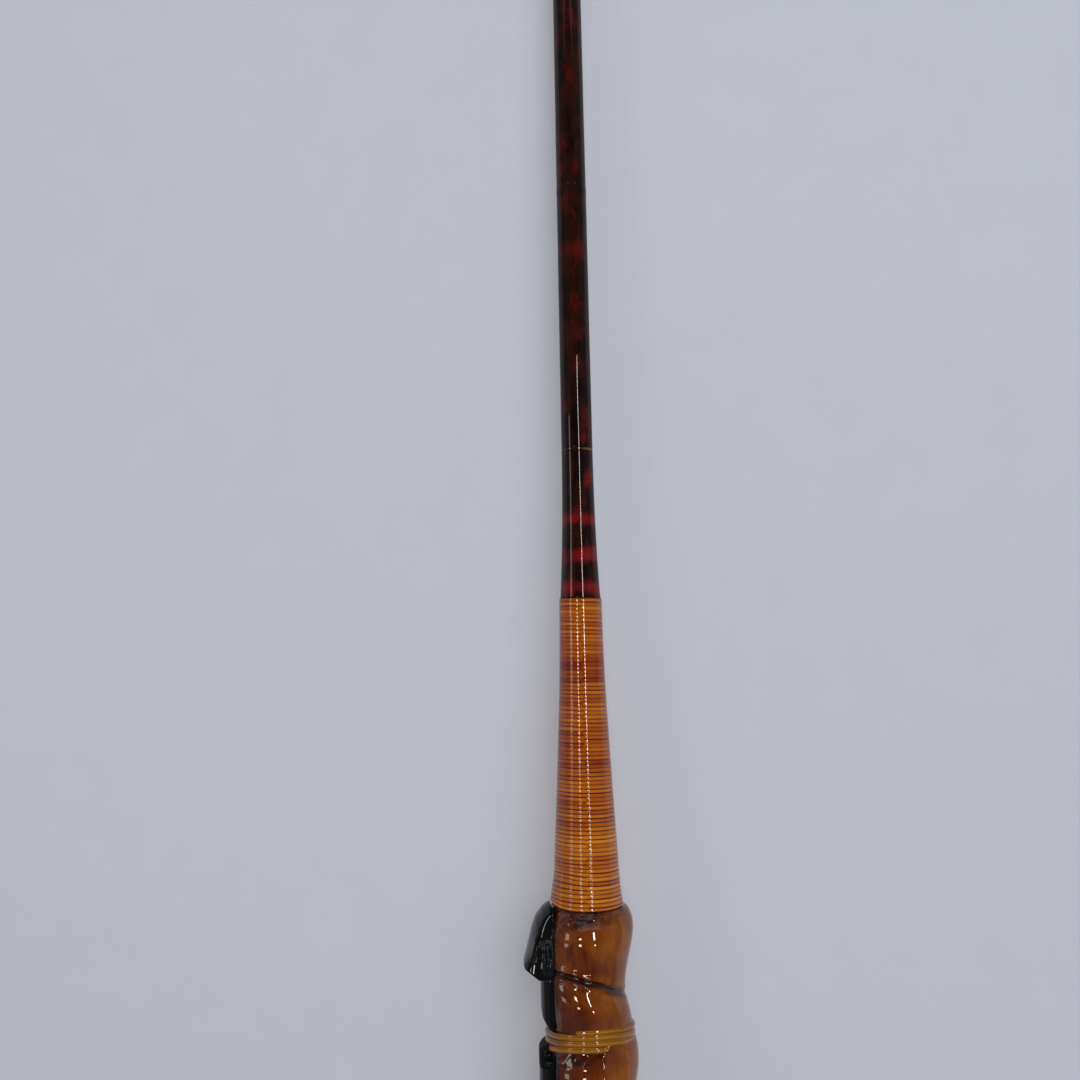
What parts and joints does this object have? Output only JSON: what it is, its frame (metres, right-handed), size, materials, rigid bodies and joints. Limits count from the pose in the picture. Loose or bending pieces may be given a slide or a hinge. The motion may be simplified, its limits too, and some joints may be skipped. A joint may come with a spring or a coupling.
{
  "type": "bamboo rod butt section",
  "caption": "Slim lacquered bamboo stick with a rattan-wound flare and a knobbly bamboo-root handle; black seat along one side with a fixed front hood and a sliding rear hood.",
  "frame": {"origin": "centre of the flat butt face, on the stick's axis", "axes": "+X along the stick and out of the butt face, so the socket mouth faces -X; -Y out of the seat and its hoods; +Z across the stick, up when it lies on its side"},
  "size_m": [0.65, 0.0404, 0.0329],
  "materials": {
    "mottled_lacquer": "high gloss",
    "whipping_lacquer": "high gloss",
    "rattan": "gloss varnish",
    "pale_rattan": "gloss varnish",
    "seam_thread": "gloss varnish",
    "bamboo_root": "gloss varnish",
    "black_lacquer": "high gloss",
    "raw_wood": "matt",
    "brass": "polished"
  },
  "bodies": {
    "stick": {"shaft": "mottled_lacquer", "mouth_whipping": "whipping_lacquer", "core_dowel": "raw_wood", "taper_sleeve": "mottled_lacquer", "seam_ring": "seam_thread", "grip_winding": "rattan", "handle": "bamboo_root", "front_hood": "black_lacquer", "hood_pegs": "raw_wood", "front_pad": "black_lacquer", "front_band": "pale_rattan", "rear_rail": "black_lacquer", "rail_screws": "brass", "rear_band": "pale_rattan", "butt_cap": "black_lacquer"},
    "sliding_hood": {"rear_hood": "black_lacquer"}
  },
  "joints": [
    {"name": "hood_slide", "type": "slide", "parent": "stick", "child": "sliding_hood", "axis": [1, 0, 0], "range_m": [0, 0.018]}
  ]
}
